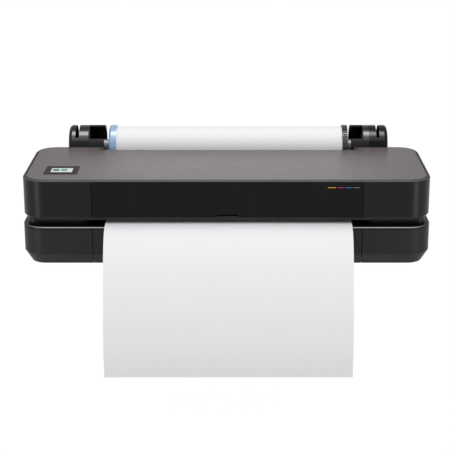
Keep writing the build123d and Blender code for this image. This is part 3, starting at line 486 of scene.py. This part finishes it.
def make_materials():
    """One material for each kind of surface."""
    made = {
        "top_plate": plastic("top_plate", (0.109, 0.091, 0.088), rough=0.38, specular=0.5, relief=0.02,
                             mottle=0.04, edge=0.0),
        "top_rim": plastic("top_rim", (0.075, 0.075, 0.073), rough=0.62, specular=0.12, edge=0.0),
        "upper_cover": plastic("upper_cover", (0.0058, 0.0060, 0.0060), rough=0.34, specular=0.17, edge=0.0),
        "lip": plastic("lip", (0.024, 0.024, 0.025), rough=0.42, specular=0.2, edge=0.0),
        "front_door": plastic("front_door", (0.0046, 0.0047, 0.0048), rough=0.24, specular=0.11, relief=0.02,
                              edge=0.0),
        "screen_bezel": plastic("screen_bezel", (0.022, 0.021, 0.020), rough=0.5, specular=0.10, relief=0.01,
                                edge=0.0),
        "lower_cover": dotted_plastic("lower_cover", (0.0085, 0.0085, 0.0088), (0.017, 0.017, 0.0172),
                                      (0.031, 0.031, 0.0315)),
        "black_plastic": plastic("black_plastic", (0.006, 0.006, 0.0065), rough=0.5, specular=0.2),
        # Painted highlight: the pale second colour is laid on the deck's front-facing slanted edge.
        "deck": deck_with_painted_highlight("deck", (0.0045, 0.0045, 0.005), (0.30, 0.30, 0.30)),
        "arm_dark": arm_plastic("arm_dark", (0.004, 0.004, 0.0042), 0.36),
        # Painted highlight: the cradle's paler edges stand in for light caught on the lip of its front wall.
        "cradle_black": plastic("cradle_black", (0.003, 0.003, 0.0032), rough=0.45, specular=0.2, edge=0.1,
                                edge_glint=(0.1, 0.1, 0.1)),
        "spindle_grey": plastic("spindle_grey", (0.30, 0.31, 0.32), rough=0.35, specular=0.5),
        "hub_blue": plastic("hub_blue", (0.31, 0.49, 0.73), rough=0.30, specular=0.5, edge=0.0, mottle=0.03),
        # Painted highlight: the gear's paler edges stand in for light caught on its teeth.
        "hub_grey": plastic("hub_grey", (0.040, 0.041, 0.042), rough=0.28, specular=0.8, edge=0.1,
                            edge_glint=(0.3, 0.3, 0.3)),
        # Painted shade: the printed sheet darkens towards its hanging end.
        "paper": paper("paper", (0.862, 0.862, 0.886), bottom_shade=0.83),
        "roll_paper": paper("roll_paper", (0.94, 0.94, 0.94)),
        "core_board": paper("core_board", (0.40, 0.29, 0.18)),
        "rubber": plastic("rubber", (0.02, 0.02, 0.02), rough=0.75, specular=0.2, relief=0.15),
        "sheet_steel": metal("sheet_steel", (0.50, 0.51, 0.52), rough=0.38, along=(6.0, 500.0, 500.0)),
        "steel": metal("steel", (0.62, 0.62, 0.63), rough=0.22, along=(900.0, 4.0, 900.0)),
        "motor_steel": metal("motor_steel", (0.24, 0.24, 0.26), rough=0.42),
        "encoder_film": plastic("encoder_film", (0.20, 0.20, 0.21), rough=0.12, specular=0.6),
        "carriage_plastic": plastic("carriage_plastic", (0.045, 0.046, 0.05), rough=0.42),
        "printhead": metal("printhead", (0.50, 0.50, 0.52), rough=0.3),
        "pulley_plastic": plastic("pulley_plastic", (0.66, 0.65, 0.60), rough=0.45),
        "cutter_plastic": plastic("cutter_plastic", (0.03, 0.12, 0.30), rough=0.38),
        "circuit_board": plastic("circuit_board", (0.02, 0.13, 0.06), rough=0.35, grain=200.0, relief=0.2),
        "supply_case": metal("supply_case", (0.52, 0.53, 0.54), rough=0.4),
        "switch_black": plastic("switch_black", (0.01, 0.01, 0.011), rough=0.2, specular=0.5),
        "touch_screen": screen_glass(),
        # Painted reflection: the pull lip's bluish colour stands in for light caught in the finger pull's
        # edge.
        "pull_lip_glint": plastic("pull_lip_glint", (0.013, 0.022, 0.031), rough=0.35, specular=0.3, edge=0.0),
        "key": plastic("key", (0.006, 0.006, 0.007), rough=0.5, specular=0.08, edge=0.0),
    }
    made["ink_marks"] = banded("ink_marks", DASH_COLOURS, quarters("ink_marks", DASH_PAST))
    made["ink_cartridge"] = banded("ink_cartridge", CARTRIDGE_COLOURS, quarters("ink_cartridges"), rough=0.35)
    return made


def screen_glass():
    """The lit panel: pale green on the left to cream on the right, under smooth glass."""
    material, tree, shader = new_material("touch_screen")
    low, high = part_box("touch_screen")
    x, _, _ = object_axes(tree)
    share = node(tree, "ShaderNodeMapRange", From_Min=low.x, From_Max=high.x)
    tree.links.new(x, share.inputs["Value"])
    stops = [(0.0, (0.56, 0.68, 0.66)), (0.5, (0.52, 0.64, 0.64)), (1.0, (0.62, 0.62, 0.57))]
    tone = ramp(tree, share.outputs["Result"], stops)
    tree.links.new(tone, shader.inputs["Base Color"])
    tree.links.new(tone, shader.inputs["Emission Color"])
    shader.inputs["Emission Strength"].default_value = 0.25
    tree.links.new(spread(tree, noise(tree, coordinates(tree), 60.0), 0.06, 0.12), shader.inputs["Roughness"])
    return material


NODE_LOOKS = {"mid_frame": "deck", "paper_roll": "roll_paper", "door_hinge_pins": "black_plastic"}


def dress_nodes(made):
    """Gives each CAD node the material of its slot."""
    for part in frame["record"]["subparts"]:
        obj = NODES[part["node"]]
        obj.data.materials.clear()
        obj.data.materials.append(made[NODE_LOOKS.get(part["node"], part["material_slot"])])


def shade(obj, sharp_from):
    """Shades an object smooth, with the edges sharper than an angle in degrees kept sharp."""
    obj.data.shade_smooth()
    obj.data.set_sharp_from_angle(angle=math.radians(sharp_from))


def smooth_nodes():
    """Shades round CAD faces smooth and keeps their edges sharp."""
    for obj in NODES.values():
        shade(obj, 28)


# ---------------------------------------------------------------- pieces beyond the CAD

# The sheet's line: where it leaves the roll, then each run's length and its turn in degrees.
SHEET_START_Y, SHEET_START_Z = 0.1753, 0.2104
SHEET_RUNS = [(0.0619, 0), (0.06597, -90), (0.3093, 0), (0.0524, 50), (0.0593, 20), (0.1396, 5), (0.0698, 8),
              (0.0797, 21)]
SHEET_HALF = 0.0002  # half of the sheet's thickness
SHEET_STEP = 0.004
SHEET_COLUMNS = 40


def mesh_piece(name, verts, faces, material, body="printer"):
    """A new mesh object that rides on a body."""
    mesh = bpy.data.meshes.new(name)
    mesh.from_pydata(verts, [], faces)
    mesh.materials.append(material)
    obj = bpy.data.objects.new(name, mesh)
    SCENE.collection.objects.link(obj)
    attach(obj, body)
    return obj


def sheet_line():
    """Points (y, z, heading) along the sheet's middle, from the roll to the hanging end."""
    y, z, heading = SHEET_START_Y, SHEET_START_Z, 270.0
    line = [(y, z, heading)]
    for length, turn in SHEET_RUNS:
        count = max(1, round(length / SHEET_STEP))
        for _ in range(count):
            chord = math.radians(heading + turn / count / 2)
            y += length / count * math.cos(chord)
            z += length / count * math.sin(chord)
            heading += turn / count
            line.append((y, z, heading))
    return line


def sheet_piece(material):
    """The printed sheet as a fine thin mesh, bent only along its length."""
    low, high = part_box("paper_sheet")
    line = sheet_line()
    columns = [low.x + (high.x - low.x) * i / SHEET_COLUMNS for i in range(SHEET_COLUMNS + 1)]
    verts, faces = [], []
    for side in (1, -1):
        for y, z, heading in line:
            a = math.radians(heading)
            off = side * SHEET_HALF
            verts += [(x, y - off * math.sin(a), z + off * math.cos(a)) for x in columns]
    wide, long = len(columns), len(line)
    layer = wide * long
    for r in range(long - 1):
        for c in range(wide - 1):
            a = r * wide + c
            faces.append((a, a + 1, a + wide + 1, a + wide))
            faces.append((layer + a, layer + a + wide, layer + a + wide + 1, layer + a + 1))
    for r in range(long - 1):
        for c, flip in ((0, False), (wide - 1, True)):
            a = r * wide + c
            edge = (a, a + wide, layer + a + wide, layer + a)
            faces.append(edge[::-1] if flip else edge)
    for c in range(wide - 1):
        for r, flip in ((0, True), (long - 1, False)):
            a = r * wide + c
            edge = (a, a + 1, layer + a + 1, layer + a)
            faces.append(edge if flip else edge[::-1])
    obj = mesh_piece("printed_sheet", verts, faces, material)
    shade(obj, 40)
    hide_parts("paper_sheet")


CORNER_STEPS = 6


def pad(name, x0, x1, y0, y1, z0, z1, material, corner=0.002, body="printer"):
    """A thin flat piece with rounded corners, seen from above."""
    outline = []
    for cx, cy, start in ((x1 - corner, y1 - corner, 0), (x0 + corner, y1 - corner, 90),
                          (x0 + corner, y0 + corner, 180), (x1 - corner, y0 + corner, 270)):
        for step in range(CORNER_STEPS + 1):
            a = math.radians(start + 90 * step / CORNER_STEPS)
            outline.append((cx + corner * math.cos(a), cy + corner * math.sin(a)))
    count = len(outline)
    verts = [(x, y, z0) for x, y in outline] + [(x, y, z1) for x, y in outline]
    faces = [tuple(range(count))[::-1], tuple(range(count, 2 * count))]
    faces += [(i, (i + 1) % count, count + (i + 1) % count, count + i) for i in range(count)]
    return mesh_piece(name, verts, faces, material, body)


def glow(name, colour, strength):
    """A lit patch on the screen, very slightly uneven."""
    material, tree, shader = new_material(name)
    drift = noise(tree, coordinates(tree), 260.0, 2.0)
    tone = ramp(tree, drift, [(0.3, tinted(colour, 0.9)), (0.7, tinted(colour, 1.1))])
    tree.links.new(tone, shader.inputs["Base Color"])
    tree.links.new(tone, shader.inputs["Emission Color"])
    shader.inputs["Emission Strength"].default_value = strength
    shader.inputs["Roughness"].default_value = 0.35
    shader.inputs["Specular IOR Level"].default_value = 0.1
    return material


# The screen's tiles and soft keys: where each starts and ends along the screen's width.
TILES = (("screen_tile_left", "tile_green", (0.045, 0.115, 0.065), 0.08, 0.37),
         ("screen_tile_right", "tile_blue", (0.10, 0.21, 0.27), 0.46, 0.74))
TILE_DEPTH = (0.35, 0.77)
TILE_GLOW = 0.2
KEYS = (("screen_key_left", 0.06, 0.42), ("screen_key_right", 0.50, 0.92))
KEY_FRONT, KEY_BACK = 0.0095, 0.0035
SUNK, TILE_RISE, KEY_RISE = 0.0001, 0.0002, 0.0003


def screen_pieces():
    """Two plain picture tiles on the screen, and two soft keys under it."""
    low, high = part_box("touch_screen")
    wide, deep = high.x - low.x, high.y - low.y
    y0, y1 = (low.y + share * deep for share in TILE_DEPTH)
    for name, look, colour, a, b in TILES:
        pad(name, low.x + a * wide, low.x + b * wide, y0, y1, high.z - SUNK, high.z + TILE_RISE,
            glow(look, colour, TILE_GLOW))
    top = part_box("screen_bezel")[1].z
    for name, a, b in KEYS:
        pad(name, low.x + a * wide, low.x + b * wide, low.y - KEY_FRONT, low.y - KEY_BACK, top - SUNK,
            top + KEY_RISE, MADE["key"])


# The finger pull's lip, whose bluish colour is a painted reflection: its ends along X, its height over the
# door's lower edge, its reach in front of the door and behind it, and its thickness there.
PULL_LEFT, PULL_RIGHT = -0.0228, 0.0288
PULL_UP = 0.001
PULL_FRONT, PULL_BACK = 0.0003, 0.0040
PULL_FRONT_T, PULL_BACK_T = 0.0012, 0.0022


def pull_lip_glint():
    """The smooth lip along the bottom of the door's finger pull, on the door; its bluish colour is a painted
    reflection.
    """
    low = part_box("front_door")[0]
    z = low.z + PULL_UP
    y0, y1 = low.y - PULL_FRONT, low.y + PULL_BACK
    section = [(y0, z), (y0, z + PULL_FRONT_T), (y1, z + PULL_BACK_T), (y1, z)]
    verts = [(x, y, up) for x in (PULL_LEFT, PULL_RIGHT) for y, up in section]
    faces = [(0, 1, 2, 3), (7, 6, 5, 4), (1, 0, 4, 5), (2, 1, 5, 6), (3, 2, 6, 7), (0, 3, 7, 4)]
    mesh_piece("pull_lip_glint", verts, faces, MADE["pull_lip_glint"], body="front_door")


make_camera()
make_lights()
make_floor()
set_colours()
MADE = make_materials()
dress_nodes(MADE)
smooth_nodes()
sheet_piece(MADE["paper"])
screen_pieces()
pull_lip_glint()
